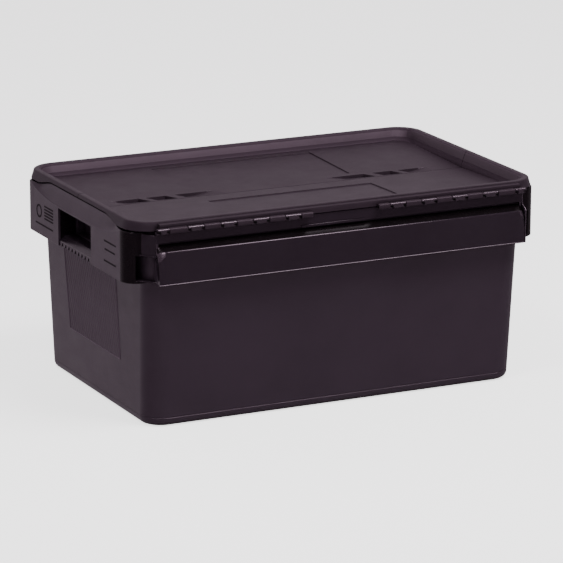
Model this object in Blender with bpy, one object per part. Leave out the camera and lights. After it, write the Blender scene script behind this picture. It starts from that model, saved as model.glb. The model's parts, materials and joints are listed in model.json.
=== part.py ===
"""Attached lid tote: a tapered tub with two hinged lid halves that meet over its middle.

Metres, +Z up. Origin at the centre of the footprint, on the ground. X runs along the length, and
the front long side faces -Y. Each lid half turns on rods held by lugs of the tub's collar.
"""

from math import cos, pi, radians, sin

import bmesh
import bpy
from mathutils import Matrix, Vector

# Driving dimensions
LENGTH = 0.600  # over the short-side skirts
WIDTH = 0.400  # over the long box flanges
CREST_Z = 0.2782  # top of the lid's rim
GAP = 0.0005  # clearance between the mouldings

# Tub shell
BASE_HALF = Vector((0.2704, 0.1704))  # outer half sizes at the ground
DRAFT = Vector((0.0041, 0.0120)) / 0.196  # growth of the half sizes per metre of height
SHELL_RADIUS = 0.030
BASE_ROUND = 0.009
WALL = 0.0026
DECK_Z = 0.250
DECK = 0.0025
CORNER_STEPS = 8

# Skirts and corner posts
SKIRT_Z = 0.196
SKIRT = 0.003
POST_RADIUS = 0.021
POST_Y = 0.171  # front plane of the corner posts
POST_TOP_Z = 0.2635
SCOOP_Z = 0.250  # lower edge of the scoop in the middle of a short side
SCOOP_TOP_Z = 0.2714
SCOOP_DEPTH = 0.0060
SCOOP_FLAT = 0.088  # half length over which the scoop keeps its full height
SCOOP_END = 0.135
HANDLE_HALF = 0.055  # half width of the hand-hold notch
POCKET_HALF = 0.046  # half width of the finger pocket in the wall behind it
POCKET_Z = (0.2120, 0.2440)
POCKET_FLOOR_X = 0.2655

# Long box flanges
FLANGE_HALF = 0.2665
FLANGE_Z = 0.197
FLANGE_EDGE_Z = 0.242
FLANGE_ROOT_Z = 0.2475
FLANGE_WALL = 0.0025

# Collar and hinges
COLLAR_Y = 0.1885
COLLAR_Z = 0.2663
AXIS_Y = 0.1943
AXIS_Z = 0.2677
BAR_HALF = 0.0039  # half section of lugs and knuckles
BAR_ROUND = 0.0024
ROD_RADIUS = 0.0020
BORE_RADIUS = 0.0024
PITCH = 0.046
LUG_HALF = 0.01125
LUG_CENTRES = [0.076 + PITCH * i for i in range(4)]
END_LUG = (0.2515, 0.2678)
GROUP_START = 0.048
ROD_SPAN = (0.0475, 0.2664)

# Lid
SEAM = 0.0005  # half the gap between the lid halves
RIM_ARC_Y = 0.148  # where the corner arcs of the rim begin
FLOOR_SEAM_Z = 0.2565  # floor height along the seam
FLOOR_WALL_Z = 0.2615  # floor height at the hinge side
LID_SHEET = 0.0025
RIM_CORNER_Z = 0.2660  # lower edge of the rim at the corners
RIM_SIDE_Z = 0.2732  # lower edge of the rim over the scoops
RAIL_HALF = 0.268
RAIL_Y = 0.1905

PLASTIC = (0.030, 0.026, 0.030)
STEEL = (0.45, 0.45, 0.46)


def clear_scene():
    for obj in list(bpy.data.objects):
        bpy.data.objects.remove(obj, do_unlink=True)


def collection(name):
    made = bpy.data.collections.new(name)
    bpy.context.scene.collection.children.link(made)
    return made


def material(name, colour, roughness, metallic):
    made = bpy.data.materials.new(name)
    made.use_nodes = True
    shader = made.node_tree.nodes["Principled BSDF"]
    shader.inputs["Base Color"].default_value = (*colour, 1.0)
    shader.inputs["Roughness"].default_value = roughness
    shader.inputs["Metallic"].default_value = metallic
    return made


def new_object(name, bm, group):
    """An object of the bmesh, with its faces turned outwards."""
    bmesh.ops.recalc_face_normals(bm, faces=bm.faces)
    mesh = bpy.data.meshes.new(name)
    bm.to_mesh(mesh)
    bm.free()
    obj = bpy.data.objects.new(name, mesh)
    group.objects.link(obj)
    return obj


def tool(name, bm):
    """A hidden object that a Boolean joins to a piece or cuts from it."""
    obj = new_object(name, bm, TOOLS)
    obj.hide_render = True
    obj.display_type = "WIRE"
    return obj


def side_name(side):
    return "back" if side > 0 else "front"


def end_name(end):
    return "right" if end > 0 else "left"


def box(name, low, high):
    bm = bmesh.new()
    bmesh.ops.create_cube(bm, size=1.0)
    size = Vector(high) - Vector(low)
    centre = (Vector(high) + Vector(low)) / 2
    bmesh.ops.scale(bm, vec=size, verts=bm.verts)
    bmesh.ops.translate(bm, vec=centre, verts=bm.verts)
    return tool(name, bm)


def cylinder_x(name, start, end, y, z, radius, segments=16):
    bm = bmesh.new()
    bmesh.ops.create_cone(
        bm, cap_ends=True, segments=segments, radius1=radius, radius2=radius, depth=end - start
    )
    turn = Matrix.Rotation(pi / 2, 4, "Y")
    bmesh.ops.transform(bm, matrix=turn, verts=bm.verts)
    bmesh.ops.translate(bm, vec=((start + end) / 2, y, z), verts=bm.verts)
    return tool(name, bm)


def rounded_bar_x(name, start, end, y, z, half, radius):
    """A square bar along X whose four long edges are rounded."""
    bm = bmesh.new()
    bmesh.ops.create_cube(bm, size=1.0)
    bmesh.ops.scale(bm, vec=(end - start, 2 * half, 2 * half), verts=bm.verts)
    long_edges = [e for e in bm.edges if abs(e.verts[0].co.x - e.verts[1].co.x) > half]
    bmesh.ops.bevel(
        bm, geom=long_edges, offset=radius, segments=4, profile=0.5, affect="EDGES"
    )
    bmesh.ops.translate(bm, vec=((start + end) / 2, y, z), verts=bm.verts)
    return tool(name, bm)


def prism(name, outline, shift):
    """A solid swept from a flat outline of points along the vector shift."""
    bm = bmesh.new()
    face = bm.faces.new([bm.verts.new(point) for point in outline])
    extruded = bmesh.ops.extrude_face_region(bm, geom=[face])["geom"]
    moved = [v for v in extruded if isinstance(v, bmesh.types.BMVert)]
    bmesh.ops.translate(bm, vec=shift, verts=moved)
    return tool(name, bm)


def prism_x(name, section, start, end):
    """A solid along X with the (y, z) section given."""
    return prism(name, [(start, y, z) for y, z in section], (end - start, 0, 0))


def join(target, parts):
    combine(target, parts, "UNION")


def cut(target, parts):
    combine(target, parts, "DIFFERENCE")


def combine(target, parts, operation):
    for part in parts:
        boolean = target.modifiers.new(operation.title() + " " + part.name, "BOOLEAN")
        boolean.operation = operation
        boolean.object = part
        boolean.solver = "EXACT"


def rounded_rect(half_x, half_y, radius, z, steps=CORNER_STEPS):
    """Points of a rounded rectangle at height z, anticlockwise from the +X side."""
    points = []
    for corner in range(4):
        sx = 1 if corner in (0, 3) else -1
        sy = 1 if corner in (0, 1) else -1
        centre = Vector((sx * (half_x - radius), sy * (half_y - radius), z))
        for i in range(steps + 1):
            angle = (corner + i / steps) * pi / 2
            points.append(centre + radius * Vector((cos(angle), sin(angle), 0)))
    return points


def loft(bm, rings, closed):
    """Joins rings of equal count with quads, and returns their vertices ring by ring."""
    made = [[bm.verts.new(p) for p in ring] for ring in rings]
    for lower, upper in zip(made, made[1:]):
        count = len(lower)
        for i in range(count if closed else count - 1):
            j = (i + 1) % count
            bm.faces.new((lower[i], lower[j], upper[j], upper[i]))
    return made


def smooth_step(value, start, end):
    t = min(max((value - start) / (end - start), 0.0), 1.0)
    return t * t * (3 - 2 * t)


# Tub


def shell_ring(z, inset, rounding=0.0):
    """A ring of the shell's surface at height z, pulled in by the wall or the base rounding."""
    half = BASE_HALF + DRAFT * z
    pull = inset + rounding
    radius = max(SHELL_RADIUS - pull, 0.004)
    return rounded_rect(half.x - pull, half.y - pull, radius, z)


def make_shell(group):
    """The tapered box, open at the top, with a rounded base edge inside and out."""
    turns = [i / 4 * pi / 2 for i in range(5)]
    outside = [
        shell_ring(BASE_ROUND * (1 - sin(a)), 0.0, BASE_ROUND * (1 - cos(a)))
        for a in reversed(turns)
    ]
    inner_round = BASE_ROUND - WALL
    inside = [
        shell_ring(WALL + inner_round * (1 - sin(a)), WALL, inner_round * (1 - cos(a)))
        for a in reversed(turns)
    ]
    rings = outside + [shell_ring(DECK_Z, 0.0), shell_ring(DECK_Z, WALL)] + inside[::-1]
    bm = bmesh.new()
    made = loft(bm, rings, closed=True)
    bm.faces.new(made[0])
    bm.faces.new(made[-1])
    return new_object("tub", bm, group)


def deck():
    """The horizontal ledge round the shell's mouth, as a plate with the mouth cut out."""
    low, high = DECK_Z - DECK, DECK_Z
    inset = SKIRT / 2
    plate = bmesh.new()
    outline = (LENGTH / 2 - inset, POST_Y - inset, POST_RADIUS - inset)
    made = loft(plate, [rounded_rect(*outline, z) for z in (low, high)], closed=True)
    plate.faces.new(made[0])
    plate.faces.new(made[-1])
    sides = box("deck_sides", (-0.2655, -COLLAR_Y + 0.001, low), (0.2655, COLLAR_Y - 0.001, high))
    mouth = bmesh.new()
    rings = [shell_ring(z, WALL / 2) for z in (low - 0.01, high + 0.01)]
    made = loft(mouth, rings, closed=True)
    mouth.faces.new(made[0])
    mouth.faces.new(made[-1])
    ledge = tool("deck", plate)
    join(ledge, [sides])
    cut(ledge, [tool("deck_mouth", mouth)])
    return ledge


def skirt_path():
    """Points and outward directions along one short side's skirt, post to post, at +X."""
    end_x = FLANGE_HALF - 0.0005
    half_y = POST_Y - POST_RADIUS
    centre_x = LENGTH / 2 - POST_RADIUS
    lower = [(Vector((end_x, -POST_Y)), Vector((0, -1)))]
    for i in range(7):
        angle = -pi / 2 + i / 6 * pi / 2
        out = Vector((cos(angle), sin(angle)))
        lower.append((Vector((centre_x, -half_y)) + POST_RADIUS * out, out))
    straight = []
    for y in (-0.142, -0.135, -0.126, -0.117, -0.108, -0.098, -SCOOP_FLAT, -0.070):
        straight.append((Vector((LENGTH / 2, y)), Vector((1, 0))))
    half = lower + straight
    mirrored = [(Vector((p.x, -p.y)), Vector((o.x, -o.y))) for p, o in reversed(half)]
    return half + mirrored


def skirt_section(point, out):
    """One closed section of the skirt: vertical face, scooped shoulder and inner face."""
    y = abs(point.y)
    on_side = 1 - smooth_step(y, 0.120, POST_Y - POST_RADIUS)
    top_z = POST_TOP_Z + (SCOOP_TOP_Z - POST_TOP_Z) * (1 - smooth_step(y, SCOOP_FLAT, SCOOP_END))
    rise = min(max((y - 0.070) / 0.081, 0.0), 1.0)
    edge_z = SCOOP_Z + (POST_TOP_Z - 0.0008 - SCOOP_Z) * rise**1.6
    depth = 0.0005 + (SCOOP_DEPTH - 0.0005) * on_side
    outline = (
        (0.0, SKIRT_Z),
        (0.0, edge_z),
        (depth * 0.70, edge_z + (top_z - edge_z) * 0.35),
        (depth, top_z),
        (depth + SKIRT, top_z),
        (SKIRT, DECK_Z - DECK / 2),
        (SKIRT, SKIRT_Z),
    )
    return [
        Vector((point.x - out.x * inset, point.y - out.y * inset, z)) for inset, z in outline
    ]


def skirt(side):
    """The skirt, scoop and two corner posts of one short side; side is 1 or -1."""
    bm = bmesh.new()
    rings = [skirt_section(point, out) for point, out in skirt_path()]
    made = loft(bm, rings, closed=True)
    bm.faces.new(made[0])
    bm.faces.new(made[-1])
    if side < 0:
        bmesh.ops.rotate(bm, cent=(0, 0, 0), matrix=Matrix.Rotation(pi, 3, "Z"), verts=bm.verts)
    name = "skirt_" + end_name(side)
    obj = tool(name, bm)
    reach = LENGTH / 2
    inner, outer = sorted((side * (reach - 0.006), side * (reach + 0.01)))
    notch = box(
        name + "_notch",
        (inner, -HANDLE_HALF, SKIRT_Z - 0.01),
        (outer, HANDLE_HALF, SCOOP_Z - DECK - 0.0003),
    )
    cut(obj, [notch] + [post_window(name, side, end) for end in (1, -1)])
    return obj


def post_window(name, side, end):
    """The opening low in a corner post, next to the long flange."""
    x0, x1 = sorted((side * 0.2685, side * 0.2880))
    y0, y1 = sorted((end * (POST_Y - 0.008), end * (POST_Y + 0.01)))
    label = name + "_window_" + side_name(end)
    return box(label, (x0, y0, SKIRT_Z + 0.0035), (x1, y1, 0.2325))


def web_outline(z):
    """One web round a corner post at +X, +Y: past the post's front and back along the shell."""
    centre = BASE_HALF + DRAFT * z - Vector((SHELL_RADIUS, SHELL_RADIUS))
    middle = SHELL_RADIUS - WALL / 2
    angles = [radians(2 + 44 * i / 6) for i in range(7)]
    inner = [(centre.x + middle * cos(a), centre.y + middle * sin(a)) for a in angles]
    front = [(0.2655, 0.1890), (0.2668, 0.1885), (0.2785, 0.1714), (0.2850, 0.1699)]
    behind = [(0.2880, 0.1683), (0.2965, 0.1560), (0.2975, 0.1240), (0.2738, 0.1240)]
    return front + behind + inner


def post_webs(side):
    """What joins a short side's corner posts to the shell: two webs, and the wall above them."""
    wall = [(0.2655, 0.1874), (0.2668, 0.1869), (0.2785, 0.1700), (0.2835, 0.1674)]
    wall += [(0.2790, 0.1665), (0.2700, 0.1730), (0.2655, 0.1800)]
    parts = []
    for end in (1, -1):
        for kind, low_z, high_z, outline in (
            ("web", 0.2322, 0.2344, web_outline(0.2333)),
            ("sill", SKIRT_Z + 0.0020, SKIRT_Z + 0.0040, web_outline(SKIRT_Z)),
            ("wall", 0.2340, 0.2612, wall),
        ):
            label = "post_%s_%s_%s" % (kind, side_name(end), end_name(side))
            points = [(side * x, end * y, low_z) for x, y in outline]
            parts.append(prism(label, points, (0, 0, high_z - low_z)))
    return parts


def hand_lip(side):
    """The bent lip that closes the foot of a hand-hold, from the skirt's plane to the shell."""
    section = [
        (0.2985, SKIRT_Z + 0.0005),
        (0.2985, 0.2035),
        (0.2900, 0.2095),
        (0.2735, 0.2095),
        (0.2735, 0.2075),
        (0.2893, 0.2075),
        (0.2965, 0.2025),
        (0.2965, SKIRT_Z + 0.0005),
    ]
    points = [(side * x, -HANDLE_HALF - 0.001, z) for x, z in section]
    return prism("hand_lip_" + end_name(side), points, (0, 2 * HANDLE_HALF + 0.002, 0))


def skirt_ribs(side):
    """Webs between a skirt and the shell, beside the hand-hold and near the posts."""
    ribs = []
    for index, y in enumerate((-0.120, -HANDLE_HALF - 0.0015, HANDLE_HALF + 0.0015, 0.120)):
        x0, x1 = sorted((side * 0.2735, side * (LENGTH / 2 - SKIRT / 2)))
        name = "rib_%s_%d" % (end_name(side), index)
        ribs.append(box(name, (x0, y - 0.00125, SKIRT_Z + 0.002), (x1, y + 0.00125, DECK_Z - 0.001)))
    return ribs


def finger_pocket(side, name, grow):
    """The box of a finger pocket, or, grown by the wall, of the bulge that holds it."""
    outer = 0.2742 if grow else 0.2800
    x0, x1 = sorted((side * (POCKET_FLOOR_X - grow), side * outer))
    low = (x0, -POCKET_HALF - grow, POCKET_Z[0] - grow)
    return box(name + "_" + end_name(side), low, (x1, POCKET_HALF + grow, POCKET_Z[1] + grow))


def flange(side):
    """The long box flange of one side: face, sloped top and end walls, open underneath."""
    face = WIDTH / 2
    edge = 0.0022  # rounding of the top front edge
    name = "flange_" + side_name(side)
    outer = [
        (face, FLANGE_Z),
        (face, FLANGE_EDGE_Z - edge),
        (face - edge * 0.3, FLANGE_EDGE_Z - edge * 0.3),
        (face - edge, FLANGE_EDGE_Z + 0.0004),
        (COLLAR_Y - 0.001, FLANGE_ROOT_Z),
        (0.1835, FLANGE_ROOT_Z + 0.0004),
        (0.1745, FLANGE_Z),
    ]
    hollow = [
        (face - FLANGE_WALL, FLANGE_Z - 0.01),
        (face - FLANGE_WALL, FLANGE_EDGE_Z - 0.003),
        (0.1868, FLANGE_ROOT_Z - 0.0030),
        (0.1820, FLANGE_ROOT_Z - 0.0030),
        (0.1720, FLANGE_Z - 0.01),
    ]
    body = prism_x(name, [(side * y, z) for y, z in outer], -FLANGE_HALF, FLANGE_HALF)
    inner = FLANGE_HALF - FLANGE_WALL
    room = prism_x(name + "_hollow", [(side * y, z) for y, z in hollow], -inner, inner)
    cut(body, [room])
    return body


def flange_ends(side):
    """End walls that tie each flange and collar to the corner posts."""
    walls = []
    for end in (1, -1):
        x0, x1 = sorted((end * 0.2640, end * FLANGE_HALF))
        name = "end_wall_%s_%s" % (side_name(side), end_name(end))
        low = [(0.1660, FLANGE_Z), (0.1960, FLANGE_Z), (0.1960, 0.2410), (COLLAR_Y, 0.2480)]
        high = [(COLLAR_Y, COLLAR_Z - 0.004), (0.1660, POST_TOP_Z)]
        section = [(side * y, z) for y, z in low + high]
        walls.append(prism_x(name, section, x0, x1))
    return walls


def collar(side):
    """The upright wall that carries the lugs of one long side, with the tab's lip below it."""
    y0, y1 = sorted((side * (COLLAR_Y - 0.0025), side * COLLAR_Y))
    name = "collar_" + side_name(side)
    wall = box(name, (-0.2660, y0, DECK_Z - DECK), (0.2660, y1, COLLAR_Z))
    t0, t1 = sorted((side * (COLLAR_Y - 0.001), side * 0.1900))
    x0, x1 = sorted((side * 0.061, side * -0.032))
    tab = box(name + "_tab", (x0, t0, 0.2506), (x1, t1, 0.2535))
    return [wall, tab]


def groups():
    """The x ranges of lugs and knuckles in one hinge group at +X, in order outwards."""
    lugs = [(c - LUG_HALF, c + LUG_HALF) for c in LUG_CENTRES] + [END_LUG]
    starts = [GROUP_START] + [high + GAP for _, high in lugs[:-1]]
    ends = [low - GAP for low, _ in lugs]
    return lugs, list(zip(starts, ends))


def both_ends(ranges):
    """The same x ranges at +X and, mirrored, at -X."""
    return ranges + [(-high, -low) for low, high in ranges]


def lug_parts(side):
    """The lugs of one long side: a bar round the rod and a prong back to the collar."""
    parts = []
    y = side * AXIS_Y
    low_z = AXIS_Z - BAR_HALF
    for index, (start, end) in enumerate(both_ends(groups()[0])):
        name = "lug_%s_%d" % (side_name(side), index)
        bar = rounded_bar_x(name, start, end, y, AXIS_Z, BAR_HALF, BAR_ROUND)
        y0, y1 = sorted((side * (COLLAR_Y - 0.001), side * (AXIS_Y - 0.0005)))
        prong = box(name + "_prong", (start, y0, low_z), (end, y1, AXIS_Z - 0.0015))
        parts += [bar, prong]
    return parts


def lug_corners(side):
    """Cutters that leave the rod bare below both ends of each lug."""
    cutters = []
    for index, (start, end) in enumerate(both_ends(groups()[0])):
        for tip, low in enumerate((start - 0.001, end - 0.0040)):
            name = "bare_%s_%d_%d" % (side_name(side), index, tip)
            y0, y1 = sorted((side * (AXIS_Y + 0.0005), side * (AXIS_Y + 0.01)))
            cutters.append(box(name, (low, y0, AXIS_Z - 0.006), (low + 0.005, y1, AXIS_Z + 0.0010)))
    return cutters


def bores(side, label):
    """Cutters for the rods: through every lug and knuckle, and blind in the last lug."""
    made = []
    for end in (1, -1):
        low, high = sorted((end * (ROD_SPAN[0] - 0.010), end * (ROD_SPAN[1] + 0.0003)))
        name = "%s_bore_%s_%s" % (label, side_name(side), end_name(end))
        made.append(cylinder_x(name, low, high, side * AXIS_Y, AXIS_Z, BORE_RADIUS))
    return made


def tray_room():
    """A cutter that keeps the tub clear of the closed lids' sunken floor."""
    bm = bmesh.new()
    rings = [rounded_rect(0.2842, 0.1757, 0.027, z) for z in (0.2579, CREST_Z + 0.01)]
    made = loft(bm, rings, closed=True)
    bm.faces.new(made[0])
    bm.faces.new(made[-1])
    return tool("tray_room", bm)


def make_tub(group, finish):
    tub = make_shell(group)
    pieces = [deck()]
    for side in (1, -1):
        pieces += [skirt(side), hand_lip(side)] + post_webs(side) + skirt_ribs(side)
        pieces += [flange(side)] + flange_ends(side) + collar(side) + lug_parts(side)
    join(tub, [finger_pocket(side, "bulge", WALL) for side in (1, -1)])
    cut(tub, [finger_pocket(side, "pocket", 0.0) for side in (1, -1)])
    join(tub, pieces)
    cut(tub, [tray_room()])
    for side in (1, -1):
        cut(tub, lug_corners(side) + bores(side, "tub"))
    tub.data.materials.append(finish)
    return tub


# Lids


def floor_z(y):
    return FLOOR_SEAM_Z + (FLOOR_WALL_Z - FLOOR_SEAM_Z) * min(abs(y) / 0.170, 1.0)


def rim_path(half_x, half_y):
    """Points of one lid half's outline at -Y, from the seam at +X round to the seam at -X."""
    radius_y = half_y - RIM_ARC_Y
    radius_x = half_y - RIM_ARC_Y + (half_x - half_y - 0.1090)
    centre_x = half_x - radius_x
    ys = [-SEAM, -0.060, -SCOOP_FLAT, -0.097, -0.106, -0.115, -0.124, -SCOOP_END]
    right = [Vector((half_x, y, 0)) for y in ys]
    for i in range(CORNER_STEPS + 1):
        angle = i / CORNER_STEPS * pi / 2
        right.append(
            Vector((centre_x + radius_x * cos(angle), -RIM_ARC_Y - radius_y * sin(angle), 0))
        )
    return right + [Vector((-p.x, p.y, 0)) for p in reversed(right)]


def rim_lower_z(y):
    """Height of the rim's lower edge, which steps up over the scoop of a short side."""
    t = smooth_step(abs(y), SCOOP_FLAT, SCOOP_END)
    return RIM_SIDE_Z + (RIM_CORNER_Z - RIM_SIDE_Z) * t


def flat_ring(half_x, half_y, z):
    return [Vector((p.x, p.y, z)) for p in rim_path(half_x, half_y)]


def floor_ring(half_x, half_y, drop):
    return [Vector((p.x, p.y, floor_z(p.y) - drop)) for p in rim_path(half_x, half_y)]


def edge_ring(full, above, low_z):
    """Points on the rim's wall where it ends, between the ring above and its full-depth ring."""
    points = []
    for bottom, top in zip(full, above):
        t = (top.z - rim_lower_z(bottom.y)) / (top.z - low_z)
        points.append(top.lerp(bottom, t))
    return points


def lid_rings():
    """Rings of one lid half, from the floor's edge over the rim and back under the floor."""
    outer_top = flat_ring(0.2935, 0.1840, 0.2770)
    outer_low = flat_ring(0.2975, 0.1845, RIM_CORNER_Z)
    under_out = flat_ring(0.2905, 0.1815, CREST_Z - LID_SHEET)
    inner_low = flat_ring(0.2950, 0.1820, RIM_CORNER_Z)
    return [
        floor_ring(0.2785, 0.1700, 0.0),
        flat_ring(0.2832, 0.1747, 0.2766),
        flat_ring(0.2850, 0.1762, CREST_Z),
        flat_ring(0.2920, 0.1826, CREST_Z),
        outer_top,
        edge_ring(outer_low, outer_top, RIM_CORNER_Z),
        edge_ring(inner_low, under_out, RIM_CORNER_Z),
        under_out,
        flat_ring(0.2862, 0.1775, CREST_Z - LID_SHEET),
        floor_ring(0.2812, 0.1727, LID_SHEET),
    ]


def lid_sheet(name, group):
    """The tray of one lid half at -Y, closed along the seam."""
    bm = bmesh.new()
    made = loft(bm, lid_rings(), closed=False)
    bm.faces.new(made[0])
    bm.faces.new(made[-1])
    right_end = [ring[0] for ring in made]
    left_end = [ring[-1] for ring in made]
    bm.faces.new(right_end + left_end[::-1])
    return new_object(name, bm, group)


def lid_rail():
    """The bar along the hinge side of a lid half, with a step down from the rim's crest."""
    section = [
        (-0.1830, 0.2762),
        (-0.1850, 0.2757),
        (-RAIL_Y + 0.0006, 0.2754),
        (-RAIL_Y, 0.2747),
        (-RAIL_Y, AXIS_Z - 0.0002),
        (-0.1830, AXIS_Z - 0.0002),
    ]
    return prism_x("rail", section, -RAIL_HALF, RAIL_HALF)


def knuckle_parts():
    parts = []
    for index, (start, end) in enumerate(both_ends(groups()[1])):
        name = "knuckle_%d" % index
        bar = rounded_bar_x(name, start, end, -AXIS_Y, AXIS_Z, BAR_HALF, BAR_ROUND)
        bridge = box(
            name + "_bridge",
            (start, -AXIS_Y + 0.0020, AXIS_Z),
            (end, -AXIS_Y + 0.0055, AXIS_Z + BAR_HALF - 0.0002),
        )
        parts += [bar, bridge]
    return parts


def lug_pockets():
    """Cutters that clear the rail round each lug through the whole swing."""
    return [
        cylinder_x("pocket_%d" % i, start - GAP, end + GAP, -AXIS_Y, AXIS_Z, 0.0052, 20)
        for i, (start, end) in enumerate(both_ends(groups()[0]))
    ]


def make_lids(group, finish):
    front = lid_sheet("front_lid", group)
    join(front, [lid_rail()])
    cut(front, lug_pockets())
    join(front, knuckle_parts())
    cut(front, bores(-1, "lid"))
    front.data.materials.append(finish)
    hinge = bpy.data.objects.new("front_lid_axis", None)
    hinge.location = (0, -AXIS_Y, AXIS_Z)
    group.objects.link(hinge)
    front.parent = hinge
    front.location = -Vector(hinge.location)
    return front


def make_back_lid(group, front, finish):
    """The same moulding turned half a turn about the vertical."""
    mesh = evaluated_mesh(front, "back_lid")
    back = bpy.data.objects.new("back_lid", mesh)
    group.objects.link(back)
    hinge = bpy.data.objects.new("back_lid_axis", None)
    hinge.location = (0, AXIS_Y, AXIS_Z)
    hinge.rotation_euler = (0, 0, pi)
    group.objects.link(hinge)
    back.parent = hinge
    back.location = (0, AXIS_Y, -AXIS_Z)
    back.data.materials.clear()
    back.data.materials.append(finish)
    return back


def evaluated_mesh(obj, name):
    bpy.context.view_layer.update()
    view = bpy.context.evaluated_depsgraph_get()
    mesh = bpy.data.meshes.new_from_object(obj.evaluated_get(view))
    mesh.name = name
    return mesh


def make_rods(group, finish):
    length = ROD_SPAN[1] - ROD_SPAN[0]
    centre = (ROD_SPAN[1] + ROD_SPAN[0]) / 2
    for side, along in ((-1, "front"), (1, "back")):
        for end, hand in ((-1, "left"), (1, "right")):
            bpy.ops.mesh.primitive_cylinder_add(
                vertices=16,
                radius=ROD_RADIUS,
                depth=length,
                location=(end * centre, side * AXIS_Y, AXIS_Z),
                rotation=(0, pi / 2, 0),
            )
            rod = bpy.context.active_object
            rod.name = "%s_%s_rod" % (along, hand)
            rod.data.name = rod.name
            for owner in list(rod.users_collection):
                owner.objects.unlink(rod)
            group.objects.link(rod)
            rod.data.shade_smooth()
            rod.data.set_sharp_from_angle(angle=0.6)
            rod.data.materials.append(finish)


clear_scene()
TOTE = collection("attached_lid_tote")
TOOLS = collection("cutters")
make_tub(TOTE, material("tub_plastic", PLASTIC, 0.45, 0.0))
lid = make_lids(TOTE, material("front_lid_plastic", PLASTIC, 0.5, 0.0))
make_back_lid(TOTE, lid, material("back_lid_plastic", PLASTIC, 0.5, 0.0))
make_rods(TOTE, material("rod_steel", STEEL, 0.35, 1.0))
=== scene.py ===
"""Looks of the attached lid tote: its mouldings, rods, plastic and studio round the CAD frame.

Metres, in the CAD's frame. Apart from the pockets beside the seam, the tub and the lids map onto
themselves in half a turn about the vertical, so each feature is built once for the front or the
left and again, turned.
"""

import json
from math import cos, pi, radians, sin

import bmesh
import bpy
from mathutils import Matrix, Vector


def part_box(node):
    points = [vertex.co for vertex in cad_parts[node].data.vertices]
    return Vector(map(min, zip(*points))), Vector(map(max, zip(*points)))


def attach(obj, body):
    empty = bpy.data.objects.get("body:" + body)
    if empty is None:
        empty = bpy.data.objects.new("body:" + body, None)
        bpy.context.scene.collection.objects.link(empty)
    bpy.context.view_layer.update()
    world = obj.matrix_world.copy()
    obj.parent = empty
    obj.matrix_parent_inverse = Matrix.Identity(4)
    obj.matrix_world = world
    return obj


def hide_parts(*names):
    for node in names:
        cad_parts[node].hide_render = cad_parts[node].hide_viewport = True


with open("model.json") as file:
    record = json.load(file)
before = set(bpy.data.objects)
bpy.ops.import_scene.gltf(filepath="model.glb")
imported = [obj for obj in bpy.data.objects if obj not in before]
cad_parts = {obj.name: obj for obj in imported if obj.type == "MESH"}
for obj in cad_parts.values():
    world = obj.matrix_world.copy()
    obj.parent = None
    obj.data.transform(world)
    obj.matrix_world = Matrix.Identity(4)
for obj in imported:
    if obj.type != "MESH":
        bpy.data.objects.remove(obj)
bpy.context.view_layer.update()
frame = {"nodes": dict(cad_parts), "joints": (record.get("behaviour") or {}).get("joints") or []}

# Sizes taken from the frame
HALF_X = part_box("tub")[1].x
HALF_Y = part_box("tub")[1].y
CREST_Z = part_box("front_lid")[1].z
HINGE = Vector(next(j["pos_m"] for j in frame["joints"] if j["child"] == "front_lid"))
AXIS_Y = abs(HINGE.y)
AXIS_Z = HINGE.z
GAP = 0.0005

# Tub shell
BASE_HALF = Vector((0.2704, 0.1704))
DRAFT = Vector((0.0041, 0.0120)) / 0.196
SHELL_RADIUS = 0.030
SHELL_TOP = 0.246
SHELL_BANDS_Z = (0.060, 0.110, 0.160, 0.205, SHELL_TOP)
BASE_ROUND = 0.009
FOOT_LINE_Z = 0.012
WALL = 0.0026
DECK_Z = (0.2476, 0.2506)
DECK_HALF = (0.2655, 0.1840)
MOUTH = (0.2729, 0.1831, 0.0275)  # half length, half width and corner radius

# Skirts
SKIRT_Z = 0.196
SKIRT = 0.003  # thickness
POST_RADIUS = 0.021
POST_Y = 0.171
POST_TOP_Z = 0.2635
SCOOP_Z = 0.250
SCOOP_TOP_Z = 0.2714
SCOOP_DEPTH = 0.0060
SCOOP_FLAT = 0.088
SCOOP_END = 0.135
HANDLE_HALF = 0.055
POCKET_HALF = 0.046
POCKET_Z = (0.2120, 0.2440)
POCKET_FLOOR_X = 0.2655
POST_ARC = 12  # steps round a corner post
RIB_Y = 0.120
RIB_HALF = 0.00125
# Painted shade: below this the hand-hold's lip takes the near-black look, for the shadow there.
LIP_SHADE_Z = 0.2017  # the hand-hold's lip is nearly black below this
TEETH = 10
MARK_PROUD = 0.00025
MARK_PITCH = 0.0042
MARK_TALL = 0.0021

# Hatched field on the short walls
GRIP_Z = (0.0718, 0.1990)
GRIP_LEFT_Y = (0.0845, 0.0995)  # at its low and its high end
GRIP_RIGHT_Y = (-0.0835, -0.0745)
HATCH_SLANT = -0.47
HATCH_PITCH = 0.0066
HATCH_START_Y = -0.090
HATCH_COUNT = 40
HATCH_STEPS = 60

# Long flanges and collars
FLANGE_HALF = 0.2665
FLANGE_Z = 0.197
FLANGE_EDGE_Z = 0.242
FLANGE_WALL = 0.0025
FLANGE_BEAD = 0.0004
FLANGE_REACH = 0.0120  # length of the cone-shaped corners
FLANGE_INSET = 0.0085  # how far they draw in
# Painted shade: inward of this the flange's sloped top takes the near-black look, where it lies in
# shadow.
FLANGE_SHADE_Y = 0.1968  # the flange's top is nearly black inward of this
# Painted glint: the cones' faces here take a lighter, glossier copy of the flange plastic.
GLINT_X = FLANGE_HALF - 0.0075  # the cones shine beyond this and between these heights
GLINT_Z = (0.2285, 0.2415)
COLLAR_HALF = 0.2661
COLLAR_Y = 0.1885
COLLAR_Z = 0.2663
COLLAR_WALL = 0.0025

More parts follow.
